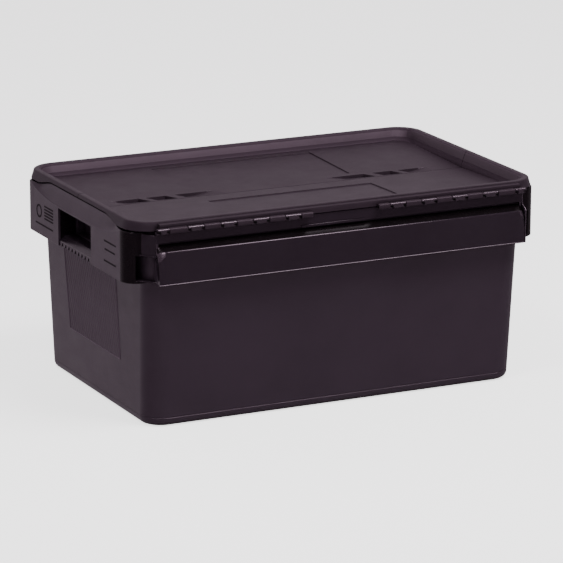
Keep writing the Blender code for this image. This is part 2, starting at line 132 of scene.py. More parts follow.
# Hinges
BAR_HALF = 0.0039
BAR_ROUND = 0.0024
BAR_TIP = 0.0005
BORE_SIDES = 28
PITCH = 0.046
LUG_HALF = 0.01125
LUG_CENTRES = [0.076 + PITCH * i for i in range(4)]
END_LUG = (0.2515, 0.2678)
GROUP_START = 0.048
ROD_RADIUS = 0.0020
ROD_EASE = 0.0005
ROD_SIDES = 24
LUG_ROOM = 0.0052  # radius of the rail's clearance round a lug

# Lids
SEAM = 0.0005
RIM_ARC_X = 0.257
RIM_ARC_Y = 0.148
FLOOR_SEAM_Z = 0.2565
FLOOR_WALL_Z = 0.2615
SHEET = 0.0025
RIM_CORNER_Z = 0.2660
RIM_SIDE_Z = 0.2732
RAIL_HALF = 0.2620
RAIL_Y = 0.1905
PANEL_X = 0.121
PANEL_Y = (0.031, 0.155)
PANEL_DEPTH = 0.0015
LID_FLOOR = (0.2794, 0.1708)
LID_FLOOR_CORNER = 0.0235
LID_KNEE_X = 0.2450  # where the floor starts to follow its rounded corners
POCKETS_Y = (0.0030, 0.0200)  # band of the seam pockets
POCKETS_X = ((-0.237, -0.194, 1), (-0.183, -0.155, 0), (-0.141, -0.084, -1))  # start, end, slope
POCKET_DEPTH = 0.0042
POCKET_UNDER = 0.0027  # how far the underside drops below them
POCKET_LEAN = 0.6  # X per Y of their slanted ends
POCKET_LEAN_X = (0.070, 0.2425)

# Where a rim changes its look, by the distance that rim_reach gives: lighter copies of its plastic
# paint light on the inner walls, their foot and their rounded top, and the outer skirt is duller
RIM_FOOT = 0.0232
RIM_WALL = (0.0224, 0.0276)
RIM_ROUND = (0.0262, 0.0292)
RIM_SKIRT = 0.0354
RIM_SKIRT_Z = 0.2773
LONG_WALL_Y = 0.160

# Plastic
MOTTLE = 0.07  # share of the colour
PLASTIC_IOR = 1.49
GLOSS_TINT = (1.0, 0.76, 0.93)

# Studio
FLOOR_SIZE = 6.0
FLOOR_GLOW = 1.90
BACKDROP_GLOW = 2.6
WORLD_DARK = 0.27
WORLD_BRIGHT = 0.66
WORLD_TINT = (1.0, 0.86, 0.96)
WORLD_FACING = (0.0, 0.98, 0.2)
LIGHT_TARGET = (0.0, 0.0, 0.2)
AZIMUTH = radians(-25.974)
ELEVATION = radians(14.982)
ROLL = radians(0.152)
DISTANCE = 4.9467
FOCAL = 6.4954  # in widths of the frame
SENSOR = 36
AIM = Vector((0, 0, 0.150))
AIM_SHIFT = (0.00233, -0.02367)  # to the right and up

# Meshes
SHARP = 0.55  # radians between two faces, from which their edge stays sharp
SKIRT_SHARP = 0.24
FLOOR_SHARP = 0.35
GRIP_SHARP = 0.2
BEVEL_ANGLE = 0.7
TURN = Matrix.Rotation(pi, 4, "Z")


# Mesh helpers


def piece(name, bm, body, look, turned=False, sharp=SHARP):
    """A finished mesh object of the bmesh, riding on a CAD body."""
    if turned:
        bmesh.ops.transform(bm, matrix=TURN, verts=bm.verts)
    bmesh.ops.recalc_face_normals(bm, faces=bm.faces)
    mesh = bpy.data.meshes.new(name)
    bm.to_mesh(mesh)
    bm.free()
    obj = bpy.data.objects.new(name, mesh)
    bpy.context.scene.collection.objects.link(obj)
    mesh.shade_smooth()
    mesh.set_sharp_from_angle(angle=sharp)
    mesh.materials.append(look)
    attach(obj, body)
    return obj


def bevel(obj, width):
    """Rounds the edges of a piece."""
    mod = obj.modifiers.new("Edges", "BEVEL")
    mod.width = width
    mod.segments = 2
    mod.limit_method = "ANGLE"
    mod.angle_limit = BEVEL_ANGLE
    mod.use_clamp_overlap = True
    mod.harden_normals = False


def show(obj, look, where):
    """Gives another look to the faces whose centre meets a condition.

    The first call also puts every other face back on the piece's own look, since carving
    can leave faces that point past it.
    """
    slots = obj.data.materials
    slots.append(look)
    for face in obj.data.polygons:
        if where(face.center):
            face.material_index = len(slots) - 1
        elif len(slots) == 2:
            face.material_index = 0


def carve(obj, cutters, operation="DIFFERENCE", sharp=SHARP):
    """Cuts the cutters, given as bmeshes, from a piece, or joins them to it."""
    for bm in cutters:
        bmesh.ops.recalc_face_normals(bm, faces=bm.faces)
        mesh = bpy.data.meshes.new("cutter")
        bm.to_mesh(mesh)
        bm.free()
        tool = bpy.data.objects.new("cutter", mesh)
        bpy.context.scene.collection.objects.link(tool)
        mod = obj.modifiers.new("Cut", "BOOLEAN")
        mod.operation = operation
        mod.object = tool
        mod.solver = "EXACT"
        bake(obj)
        bpy.data.objects.remove(tool)
    obj.data.set_sharp_from_angle(angle=sharp)


def bake(obj):
    """Replaces a piece's mesh by the result of its modifiers."""
    bpy.context.view_layer.update()
    view = bpy.context.evaluated_depsgraph_get()
    mesh = bpy.data.meshes.new_from_object(obj.evaluated_get(view))
    obj.modifiers.clear()
    obj.data = mesh


def box(low, high):
    """A box between its lowest and highest corners."""
    bm = bmesh.new()
    bmesh.ops.create_cube(bm, size=1.0)
    low, high = Vector(low), Vector(high)
    bmesh.ops.scale(bm, vec=high - low, verts=bm.verts)
    bmesh.ops.translate(bm, vec=(high + low) / 2, verts=bm.verts)
    return bm


def merge(parts):
    """One bmesh of several separate closed ones."""
    whole = bmesh.new()
    for part in parts:
        mesh = bpy.data.meshes.new("part")
        part.to_mesh(mesh)
        part.free()
        whole.from_mesh(mesh)
        bpy.data.meshes.remove(mesh)
    return whole


def loft(rings, caps=True):
    """A bmesh of quads between rings of equal count, with its first and last rings filled."""
    bm = bmesh.new()
    made = [[bm.verts.new(p) for p in ring] for ring in rings]
    for lower, upper in zip(made, made[1:]):
        count = len(lower)
        for i in range(count):
            j = (i + 1) % count
            bm.faces.new((lower[i], lower[j], upper[j], upper[i]))
    if caps:
        bm.faces.new(made[0])
        bm.faces.new(made[-1])
    return bm


def prism_x(section, start, end):
    """A solid along X with the (y, z) section given."""
    return loft([[Vector((x, y, z)) for y, z in section] for x in (start, end)])


def cylinder_x(start, end, y, z, radius):
    """A round bar along X with its axis at (y, z)."""
    turns = [i / BORE_SIDES * 2 * pi for i in range(BORE_SIDES)]
    section = [(y + radius * cos(a), z + radius * sin(a)) for a in turns]
    return prism_x(section, start, end)


def rounded_rect(half_x, half_y, radius, z, steps=14):
    """Points of a rectangle with round corners at height z, counterclockwise."""
    points = []
    for corner in range(4):
        sx = 1 if corner in (0, 3) else -1
        sy = 1 if corner in (0, 1) else -1
        centre = Vector((sx * (half_x - radius), sy * (half_y - radius), z))
        for i in range(steps + 1):
            angle = (corner + i / steps) * pi / 2
            points.append(centre + radius * Vector((cos(angle), sin(angle), 0)))
    return points


def smooth_step(value, start, end):
    """0 up to start, 1 from end, and an eased rise between them."""
    t = min(max((value - start) / (end - start), 0.0), 1.0)
    return t * t * (3 - 2 * t)


# Materials


def nodes_of(material):
    """The material's node tree, emptied."""
    material.use_nodes = True
    tree = material.node_tree
    tree.nodes.clear()
    return tree


def node(tree, kind, **inputs):
    """A new node with values for some of its inputs."""
    made = tree.nodes.new(kind)
    for key, value in inputs.items():
        made.inputs[key.replace("_", " ")].default_value = value
    return made


def noise_fac(tree, coords, scale, detail=3.0, rough=0.55):
    """Noise whose scale is in cells per metre."""
    made = node(tree, "ShaderNodeTexNoise", Scale=scale, Detail=detail, Roughness=rough)
    tree.links.new(coords, made.inputs["Vector"])
    return made.outputs["Fac"]


def ranged(tree, fac, low, high, start=0.3, stop=0.7):
    """A factor spread from low to high."""
    made = tree.nodes.new("ShaderNodeMapRange")
    made.inputs["From Min"].default_value = start
    made.inputs["From Max"].default_value = stop
    made.inputs["To Min"].default_value = low
    made.inputs["To Max"].default_value = high
    tree.links.new(fac, made.inputs["Value"])
    return made.outputs["Result"]


def stretched(tree, coords, scale):
    """Coordinates multiplied along each axis."""
    made = node(tree, "ShaderNodeMapping")
    made.inputs["Scale"].default_value = scale
    tree.links.new(coords, made.inputs["Vector"])
    return made.outputs["Vector"]


def math_node(tree, operation, first, second):
    """The result of a sum or product of two numbers or sockets."""
    made = tree.nodes.new("ShaderNodeMath")
    made.operation = operation
    for socket, value in zip(made.inputs, (first, second)):
        if isinstance(value, (int, float)):
            socket.default_value = value
        else:
            tree.links.new(value, socket)
    return made.outputs["Value"]


def multiplied(tree, first, second):
    """A colour, given or from a socket, times a grey factor."""
    made = node(tree, "ShaderNodeMix")
    made.data_type = "RGBA"
    made.blend_type = "MULTIPLY"
    made.inputs["Factor"].default_value = 1.0
    if isinstance(first, tuple):
        made.inputs[6].default_value = (*first, 1.0)
    else:
        tree.links.new(first, made.inputs[6])
    tree.links.new(second, made.inputs[7])
    return made.outputs[2]


def plastic(name, colour, roughness, specular=0.5, grain=1.0, shade_reach=0.010):
    """Moulded polypropylene: fine grain, flow mottling, rubbed patches, and painted shade that
    darkens its colour and gloss in crevices.
    """
    material = bpy.data.materials.new(name)
    tree = nodes_of(material)
    coords = tree.nodes.new("ShaderNodeTexCoord").outputs["Object"]
    cloud = noise_fac(tree, coords, 9.0, 4.0)
    speckle = noise_fac(tree, coords, 420.0, 2.0)
    flow = noise_fac(tree, stretched(tree, coords, (1.0, 1.0, 3.0)), 22.0, 3.0)
    rub = noise_fac(tree, coords, 34.0, 6.0, 0.7)

    shade = math_node(
        tree,
        "ADD",
        ranged(tree, cloud, 1 - MOTTLE, 1 + MOTTLE),
        math_node(tree, "ADD", ranged(tree, speckle, -0.03, 0.03), ranged(tree, rub, -0.02, 0.04)),
    )
    tint = multiplied(tree, colour, shade)
    # Painted shade: ambient occlusion darkens the colour and the specular level in crevices and
    # recesses, where shade falls.
    occlusion = tree.nodes.new("ShaderNodeAmbientOcclusion")
    occlusion.samples = 6
    occlusion.inputs["Distance"].default_value = shade_reach
    painted_shade = ranged(tree, occlusion.outputs["AO"], 0.25, 1.0, 0.15, 0.70)
    dark = multiplied(tree, tint, painted_shade)

    shader = node(tree, "ShaderNodeBsdfPrincipled")
    shader.inputs["IOR"].default_value = PLASTIC_IOR
    shader.inputs["Specular Tint"].default_value = (*GLOSS_TINT, 1.0)
    tree.links.new(dark, shader.inputs["Base Color"])
    gloss = math_node(
        tree,
        "ADD",
        ranged(tree, flow, roughness - 0.02, roughness + 0.02),
        ranged(tree, rub, -0.03, 0.03),
    )
    tree.links.new(gloss, shader.inputs["Roughness"])
    level = math_node(tree, "MULTIPLY", painted_shade, specular)
    tree.links.new(level, shader.inputs["Specular IOR Level"])

    skin = noise_fac(tree, coords, 1500.0, 2.0)
    wave = noise_fac(tree, coords, 38.0, 2.0)
    height = math_node(
        tree,
        "ADD",
        math_node(tree, "MULTIPLY", skin, grain),
        math_node(tree, "MULTIPLY", wave, 0.4),
    )
    bump = node(tree, "ShaderNodeBump", Strength=0.3, Distance=0.0003)
    tree.links.new(height, bump.inputs["Height"])
    tree.links.new(bump.outputs["Normal"], shader.inputs["Normal"])

    out = tree.nodes.new("ShaderNodeOutputMaterial")
    tree.links.new(shader.outputs["BSDF"], out.inputs["Surface"])
    return material


def wire_steel(name):
    """Blackened wire, with fine marks along its length and a few dull spots."""
    material = bpy.data.materials.new(name)
    tree = nodes_of(material)
    coords = tree.nodes.new("ShaderNodeTexCoord").outputs["Object"]
    drawn = noise_fac(tree, stretched(tree, coords, (1.0, 60.0, 60.0)), 60.0, 4.0)
    spots = noise_fac(tree, coords, 180.0, 3.0)
    tint = tree.nodes.new("ShaderNodeValToRGB")
    tint.color_ramp.elements[0].position = 0.35
    tint.color_ramp.elements[0].color = (0.012, 0.011, 0.011, 1)
    tint.color_ramp.elements[1].position = 0.6
    tint.color_ramp.elements[1].color = (0.034, 0.033, 0.034, 1)
    tree.links.new(spots, tint.inputs["Fac"])
    shader = node(tree, "ShaderNodeBsdfPrincipled", Metallic=1.0)
    tree.links.new(tint.outputs["Color"], shader.inputs["Base Color"])
    tree.links.new(ranged(tree, drawn, 0.40, 0.60), shader.inputs["Roughness"])
    bump = node(tree, "ShaderNodeBump", Strength=0.2, Distance=0.0001)
    tree.links.new(drawn, bump.inputs["Height"])
    tree.links.new(bump.outputs["Normal"], shader.inputs["Normal"])
    out = tree.nodes.new("ShaderNodeOutputMaterial")
    tree.links.new(shader.outputs["BSDF"], out.inputs["Surface"])
    return material


# Tub


def shell_ring(z, inset, rounding=0.0):
    """The tapered box's outline at height z, drawn in by a wall or a rounded edge."""
    half = BASE_HALF + DRAFT * z
    pull = inset + rounding
    return rounded_rect(half.x - pull, half.y - pull, max(SHELL_RADIUS - pull, 0.004), z)


def finger_pocket(side, grow):
    """A cutter for the pocket behind a hand-hold, or, grown, the bulge that holds it."""
    outer = 0.2742 if grow else 0.2800
    x0, x1 = sorted((side * (POCKET_FLOOR_X - grow), side * outer))
    low = (x0, -POCKET_HALF - grow, POCKET_Z[0] - grow)
    high_z = min(POCKET_Z[1] + grow, SHELL_TOP - 0.0002)
    return box(low, (x1, POCKET_HALF + grow, high_z))


def make_shell(look):
    """The hollow tapered box, with a foot line and the two finger pockets."""
    turns = [i / 6 * pi / 2 for i in range(7)]
    outside = [
        shell_ring(BASE_ROUND * (1 - sin(a)), 0.0, BASE_ROUND * (1 - cos(a)))
        for a in reversed(turns)
    ]
    foot = [(-0.0008, 0.0), (-0.0004, 0.0004), (0.0004, 0.0004), (0.0008, 0.0)]
    outside += [shell_ring(FOOT_LINE_Z + rise, inset) for rise, inset in foot]
    outside += [shell_ring(z, 0.0) for z in SHELL_BANDS_Z]
    inner_round = BASE_ROUND - WALL
    inside = [shell_ring(z, WALL) for z in reversed(SHELL_BANDS_Z)]
    inside += [
        shell_ring(WALL + inner_round * (1 - sin(a)), WALL, inner_round * (1 - cos(a)))
        for a in turns
    ]
    shell = piece("tub_shell", loft(outside + inside), "tub", look)
    carve(shell, [finger_pocket(side, WALL) for side in (1, -1)], "UNION")
    carve(shell, [finger_pocket(side, 0.0) for side in (1, -1)])
    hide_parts("tub")


def make_deck(look):
    """The ledge between the mouth, the skirts and the collars."""
    low_z, high_z = DECK_Z
    inset = SKIRT / 2
    half_x, half_y, radius = HALF_X - inset, POST_Y - inset, POST_RADIUS - inset
    plate = loft([rounded_rect(half_x, half_y, radius, z) for z in DECK_Z])
    deck = piece("tub_deck", plate, "tub", look)
    x, y = DECK_HALF
    carve(deck, [box((-x, -y, low_z), (x, y, high_z))], "UNION")
    hole = loft([rounded_rect(*MOUTH, z) for z in (low_z - 0.01, high_z + 0.01)])
    carve(deck, [hole])


def skirt_path():
    """Points and outward directions along the skirt at -X, from the back post to the front one."""
    end_x = -FLANGE_HALF + 0.0005
    half_y = POST_Y - POST_RADIUS
    centre_x = -HALF_X + POST_RADIUS
    back = [(Vector((x, POST_Y)), Vector((0, 1))) for x in (end_x, -0.2725)]
    for i in range(POST_ARC + 1):
        angle = pi / 2 + i / POST_ARC * pi / 2
        out = Vector((cos(angle), sin(angle)))
        back.append((Vector((centre_x, half_y)) + POST_RADIUS * out, out))
    steps = [0.147 - 0.0039 * i for i in range(20)]
    back += [(Vector((-HALF_X, y)), Vector((-1, 0))) for y in steps]
    front = [(Vector((p.x, -p.y)), Vector((o.x, -o.y))) for p, o in reversed(back)]
    return back + front


def skirt_section(point, out):
    """The skirt's section: vertical face, a small step, the scoop and the inner face."""
    y = abs(point.y)
    on_side = 1 - smooth_step(y, 0.120, POST_Y - POST_RADIUS)
    rise = smooth_step(y, SCOOP_FLAT, SCOOP_END)
    top_z = POST_TOP_Z + (SCOOP_TOP_Z - POST_TOP_Z) * (1 - rise)
    climb = min(max((y - 0.070) / 0.081, 0.0), 1.0) ** 1.6
    edge_z = SCOOP_Z + (POST_TOP_Z - 0.0012 - SCOOP_Z) * climb
    depth = 0.0006 + (SCOOP_DEPTH - 0.0006) * on_side
    outline = [(0.0, SKIRT_Z + 0.0006), (0.0, (SKIRT_Z + edge_z) / 2), (0.0, edge_z - 0.0006)]
    step = 0.0009 * on_side
    for i in range(7):
        t = i / 6
        inset = step + (depth - step) * (1 - (1 - t) ** 1.8)
        outline.append((inset, edge_z + (top_z - edge_z) * t + 0.0004 * (1 - t)))
    outline += [
        (depth + 0.0006, top_z + 0.0004),
        (depth + SKIRT - 0.0006, top_z + 0.0004),
        (depth + SKIRT, top_z - 0.0002),
        (SKIRT, DECK_Z[1] - 0.0015),
        (SKIRT, SKIRT_Z + 0.0005),
        (SKIRT - 0.0005, SKIRT_Z),
        (0.0006, SKIRT_Z),
    ]
    return [Vector((point.x - out.x * inset, point.y - out.y * inset, z)) for inset, z in outline]


def tray_room():
    """A cutter that keeps the tub clear of the closed lids' sunken floor."""
    return loft([rounded_rect(0.2842, 0.1757, 0.027, z) for z in (0.2579, CREST_Z + 0.01)])


def post_windows():
    """Cutters for the recesses in the corner posts: one low and deep, one high and shallow."""
    cutters = []
    for end in (1, -1):
        for depth, low_z, high_z in ((0.0080, SKIRT_Z + 0.0035, 0.2325), (0.0012, 0.2343, 0.2612)):
            y0, y1 = sorted((end * (POST_Y - depth), end * (POST_Y + 0.01)))
            cutters.append(box((-0.2868, y0, low_z), (-0.2600, y1, high_z)))
    return cutters


def web_outline(z):
    """One web round a corner post at +X, +Y: past the post's front and back along the shell."""
    centre = BASE_HALF + DRAFT * z - Vector((SHELL_RADIUS, SHELL_RADIUS))
    middle = SHELL_RADIUS - WALL / 2
    angles = [radians(2 + 44 * i / 6) for i in range(7)]
    inner = [(centre.x + middle * cos(a), centre.y + middle * sin(a)) for a in angles]
    front = [(0.2655, 0.1890), (0.2668, 0.1885), (0.2785, 0.1716), (0.2850, 0.1700)]
    behind = [(0.2880, 0.1683), (0.2965, 0.1560), (0.2975, 0.1240), (0.2738, 0.1240)]
    return front + behind + inner


def post_webs():
    """What joins the corner posts to the shell: two webs each, and the wall above them."""
    wall = [(0.2655, 0.1874), (0.2668, 0.1869), (0.2785, 0.1700), (0.2835, 0.1674)]
    wall += [(0.2790, 0.1665), (0.2700, 0.1730), (0.2655, 0.1800)]
    parts = []
    for end in (1, -1):
        for low_z, high_z, outline in (
            (0.2322, 0.2344, web_outline(0.2333)),
            (SKIRT_Z + 0.0020, SKIRT_Z + 0.0040, web_outline(SKIRT_Z)),
            (0.2340, 0.2612, wall),
        ):
            rings = [[Vector((-x, end * y, z)) for x, y in outline] for z in (low_z, high_z)]
            parts.append(loft(rings))
    return merge(parts)


def make_skirt(name, look, shade_look, turned):
    """A short side's skirt and corner posts, cut for the hand-hold and the closed lids."""
    rings = [skirt_section(point, out) for point, out in skirt_path()]
    obj = piece("tub_skirt_" + name, loft(rings), "tub", look, sharp=SKIRT_SHARP)
    notch = box(
        (-HALF_X - 0.01, -HANDLE_HALF, SKIRT_Z - 0.01),
        (-HALF_X + 0.006, HANDLE_HALF, SCOOP_Z - 0.0028),
    )
    carve(obj, [notch, *post_windows(), tray_room()], sharp=SKIRT_SHARP)
    # Painted shade: the corner posts take the near-black look, for their shade and dark
    # reflections.
    show(obj, shade_look, lambda c: abs(c.y) > POST_Y - POST_RADIUS + 0.0005)
    if turned:
        obj.data.transform(TURN)


def skirt_ribs():
    """Webs between the skirt and the shell."""
    parts = []
    beside_hold = HANDLE_HALF + 0.0015
    for y in (-RIB_Y, -beside_hold, beside_hold, RIB_Y):
        low = (-HALF_X + SKIRT / 2, y - RIB_HALF, SKIRT_Z + 0.002)
        parts.append(box(low, (-0.2735, y + RIB_HALF, DECK_Z[1] - 0.001)))
    return merge(parts)


def hand_lip():
    """The bent lip that closes the foot of the hand-hold."""
    section = [(0.2975, SKIRT_Z + 0.0005), (0.2975, 0.2016), (0.2985, 0.2018), (0.2985, 0.2035)]
    section += [(0.2900, 0.2095), (0.2735, 0.2095), (0.2735, 0.2075), (0.2893, 0.2075)]
    section += [(0.2960, 0.2025), (0.2960, SKIRT_Z + 0.0005)]
    half = HANDLE_HALF - 0.0001
    rings = [[Vector((-x, y, z)) for x, z in section] for y in (-half, half)]
    return loft(rings)


def lip_teeth():
    """Raised saw-teeth along the foot of the lip."""
    parts = []
    width = 2 * HANDLE_HALF / TEETH
    for i in range(TEETH):
        y = -HANDLE_HALF + i * width
        tooth = [(y + 0.0006, 0.2022), (y + width - 0.0006, 0.2022)]
        tooth += [(y + width * 0.60, SKIRT_Z + 0.0002), (y + width * 0.40, SKIRT_Z + 0.0002)]
        parts.append(loft([[Vector((x, a, z)) for a, z in tooth] for x in (-0.2986, -0.2970)]))
    return merge(parts)


def marks():
    """Plain raised bars and a ring on the skirt, in place of moulded wording."""
    parts = []
    face, root, proud = -HALF_X, 0.0004, -MARK_PROUD
    rows = [(0.073, 0.030, 0.2380 - MARK_PITCH * i) for i in range(5)]
    rows += [(0.074, 0.060, 0.2105)]
    rows += [(-0.137, 0.038, 0.2380), (-0.133, 0.032, 0.2270), (-0.136, 0.038, 0.2115)]
    for y, length, z in rows:
        parts.append(box((face + proud, y, z), (face + root, y + length, z + MARK_TALL)))
    centre = Vector((face, 0.1215, 0.2290))
    inner, outer, sides = 0.0068, 0.0092, 32
    section = ((inner, root), (inner, proud), (outer, proud), (outer, root))
    rings = []
    for i in range(sides + 1):
        angle = i / sides * 2 * pi
        out = Vector((0, cos(angle), sin(angle)))
        rings.append([centre + out * r + Vector((x, 0, 0)) for r, x in section])
    parts.append(loft(rings, caps=False))
    return merge(parts)


def wall_x(z):
    """Distance of the shell's short walls from the middle at height z."""
    return BASE_HALF.x + DRAFT.x * z


def grip_edge(ends, z):
    """Y of one side of the hatched field at height z."""
    t = (z - GRIP_Z[0]) / (GRIP_Z[1] - GRIP_Z[0])
    return ends[0] + (ends[1] - ends[0]) * t


def wall_strip(start, stop, width, lift):
    """A rib of triangular section between two (y, z) points on a short wall."""
    start, stop = Vector(start), Vector(stop)
    along = (stop - start).normalized()
    across = Vector((-along.y, along.x)) * width / 2
    rings = []
    for end in (start, stop):
        outline = ((end + across, -0.0004), (end, lift), (end - across, -0.0004))
        rings.append([Vector((-wall_x(p.y) - rise, p.x, p.y)) for p, rise in outline])
    return loft(rings)


def grip_panel():
    """The hatched field on a short wall: a frame with slanted ribs in it."""
    low, high = GRIP_Z
    low_left, high_left = [(grip_edge(GRIP_LEFT_Y, z), z) for z in GRIP_Z]
    low_right, high_right = [(grip_edge(GRIP_RIGHT_Y, z), z) for z in GRIP_Z]
    parts = [
        wall_strip(low_left, low_right, 0.0022, 0.0009),
        wall_strip(low_left, high_left, 0.0018, 0.0007),
        wall_strip(low_right, high_right, 0.0018, 0.0007),
    ]
    for i in range(HATCH_COUNT):
        foot = HATCH_START_Y + HATCH_PITCH * i
        inside = []
        for k in range(HATCH_STEPS + 1):
            z = low + (high - low) * k / HATCH_STEPS
            y = foot + HATCH_SLANT * (z - low)
            if grip_edge(GRIP_RIGHT_Y, z) + 0.001 < y < grip_edge(GRIP_LEFT_Y, z) - 0.001:
                inside.append((y, z))
        if len(inside) > 3:
            parts.append(wall_strip(inside[0], inside[-1], 0.0036, 0.0007))
    return merge(parts)


def flange_section(inset):
    """The flange's section, smaller and rounder by inset, as it is near its ends."""
    face = HALF_Y - FLANGE_BEAD
    top_face = face - inset * 0.45
    edge_z = FLANGE_EDGE_Z - inset * 0.45
    round_r = 0.0030 + 0.0095 * (inset / FLANGE_INSET) ** 0.5
    low_face = face - inset * 0.05
    points = [
        (low_face + FLANGE_BEAD - 0.0004, FLANGE_Z),
        (low_face + FLANGE_BEAD, FLANGE_Z + 0.0004),
        (low_face + FLANGE_BEAD, FLANGE_Z + 0.0010),
        (low_face, FLANGE_Z + 0.0010 + FLANGE_BEAD * 1.1),
        (face - inset * 0.12, FLANGE_Z + 0.020),
        (face - inset * 0.30, edge_z - round_r - 0.0015),
    ]
    centre = (top_face - round_r, edge_z - round_r)
    for i in range(7):
        angle = i / 6 * radians(64)
        points.append((centre[0] + round_r * cos(angle), centre[1] + round_r * sin(angle)))
    points += [
        (COLLAR_Y - 0.0005, 0.2472 - inset * 0.5),
        (0.1830, 0.2478 - inset * 0.5),
        (0.1830, 0.2450 - inset * 0.5),
        (0.1860, 0.2442 - inset * 0.9),
        (top_face - round_r * 0.5 - FLANGE_WALL, edge_z - round_r * 0.5 - FLANGE_WALL),
        (low_face - FLANGE_WALL, FLANGE_Z),
    ]
    return [(-y, z) for y, z in points]


def flange():
    """The long flange at the front: rounded top edge, cone-shaped corners, open underneath."""
    stations = []
    for i in range(11):
        angle = i / 10 * pi / 2
        x = FLANGE_HALF - FLANGE_REACH * (1 - sin(angle))
        stations.append((x, FLANGE_INSET * (1 - cos(angle))))
    path = sorted([(-x, inset) for x, inset in stations] + stations)
    rings = [[Vector((x, y, z)) for y, z in flange_section(inset)] for x, inset in path]
    return loft(rings)


def flange_rib():
    """The thin rib that edges the flange at its right end."""
    section = [
        (-HALF_Y + 0.0001, FLANGE_Z + 0.0002),
        (-HALF_Y + 0.0001, 0.2405),
        (-0.1975, 0.2440),
        (-0.1905, 0.2475),
        (-0.1890, 0.2510),
        (-0.1890, COLLAR_Z - 0.0010),
        (-0.1860, COLLAR_Z - 0.0010),
        (-0.1860, FLANGE_Z + 0.0002),
    ]
    return prism_x(section, FLANGE_HALF - 0.0004, FLANGE_HALF + 0.0010)


def flange_ends():
    """End walls that tie the flange and the collar to the shell."""
    parts = []
    for end in (1, -1):
        x0, x1 = sorted((end * 0.2630, end * (FLANGE_HALF - 0.0003)))
        section = [
            (-0.1800, FLANGE_Z + 0.001),
            (-0.1982, FLANGE_Z + 0.001),
            (-0.1966, 0.2230),
            (-0.1940, 0.2300),
            (-0.1915, 0.2350),
            (-COLLAR_Y + 0.0002, 0.2385),
            (-COLLAR_Y + 0.0002, COLLAR_Z - 0.004),
            (-0.1800, COLLAR_Z - 0.005),
        ]
        parts.append(prism_x(section, x0, x1))
    return merge(parts)


def collar():
    """The upright wall that carries the front lugs, over a groove, with its small tab."""
    section = [
        (-0.1832, 0.2530),
        (-0.1832, DECK_Z[1] - 0.0001),
        (-COLLAR_Y, DECK_Z[1] - 0.0001),
        (-COLLAR_Y, COLLAR_Z),
        (-COLLAR_Y + COLLAR_WALL, COLLAR_Z),
        (-COLLAR_Y + COLLAR_WALL, 0.2530),
    ]
    wall = prism_x(section, -COLLAR_HALF, COLLAR_HALF)
    tab = box((-0.061, -0.1899, DECK_Z[1] - 0.0004), (0.032, -COLLAR_Y + 0.001, 0.2535))
    return merge([wall, tab])


def groups():
    """X ranges of one group's five lugs and of the knuckles before each of them."""
    lugs = [(c - LUG_HALF, c + LUG_HALF) for c in LUG_CENTRES] + [END_LUG]
    starts = [GROUP_START] + [high + GAP for _, high in lugs[:-1]]
    return lugs, list(zip(starts, [low - GAP for low, _ in lugs]))


def mirrored(ranges, end):
    """The ranges as they are for end 1, or on the other side of the middle for end -1."""
    return [tuple(sorted((end * low, end * high))) for low, high in ranges]


def eased(start, end, ease):
    """Places along a bar with eased ends, each with how far the outline draws in there."""
    return ((start, ease), (start + ease, 0.0), (end - ease, 0.0), (end, ease))


def rounded_bar(start, end):
    """A bar along X round the front hinge axis, square with rounded edges and eased tips."""
    rings = []
    for x, inset in eased(start, end, BAR_TIP):
        half = BAR_HALF - inset
        flat = rounded_rect(half, half, BAR_ROUND - inset, 0.0, 5)
        rings.append([Vector((x, -AXIS_Y + p.x, AXIS_Z + p.y)) for p in flat])
    return loft(rings)


def make_lug(name, start, end, look, turned):
    """One lug: a bar with the rod bare below its ends, on a prong from the collar."""
    obj = piece(name, rounded_bar(start, end), "tub", look)
    low_z = AXIS_Z - BAR_HALF
    cuts = [
        box((x, -AXIS_Y - 0.01, low_z - 0.01), (x + 0.0052, -AXIS_Y - 0.0006, AXIS_Z + 0.0010))
        for x in (start - 0.001, end - 0.0042)
    ]
    bore = cylinder_x(start - 0.001, end + 0.001, -AXIS_Y, AXIS_Z, ROD_RADIUS + 0.0003)
    carve(obj, cuts + [bore])
    prong_low = (start, -AXIS_Y + 0.0006, low_z + 0.0002)
    prong = box(prong_low, (end, -COLLAR_Y + 0.001, AXIS_Z - 0.0015))
    carve(obj, [prong], "UNION")
    if turned:
        obj.data.transform(TURN)


# Lids


def floor_z(y):
    """Height of the lids' floor, which rises from the seam to the long walls."""
    return FLOOR_SEAM_Z + (FLOOR_WALL_Z - FLOOR_SEAM_Z) * min(abs(y) / 0.170, 1.0)


def rim_path(half_x, half_y):
    """One lid half's outline at -Y, from the seam at +X round to the seam at -X."""
    radius_y = half_y - RIM_ARC_Y
    radius_x = radius_y + (half_x - half_y - 0.1090)
    centre_x = half_x - radius_x
    ys = [-SEAM, -0.030, -0.060] + [-SCOOP_FLAT - 0.0047 * i for i in range(11)] + [-0.1415]
    right = [Vector((half_x, y, 0)) for y in ys]
    for i in range(15):
        angle = i / 14 * pi / 2
        right.append(
            Vector((centre_x + radius_x * cos(angle), -RIM_ARC_Y - radius_y * sin(angle), 0))
        )
    return right + [Vector((-p.x, p.y, 0)) for p in reversed(right)]


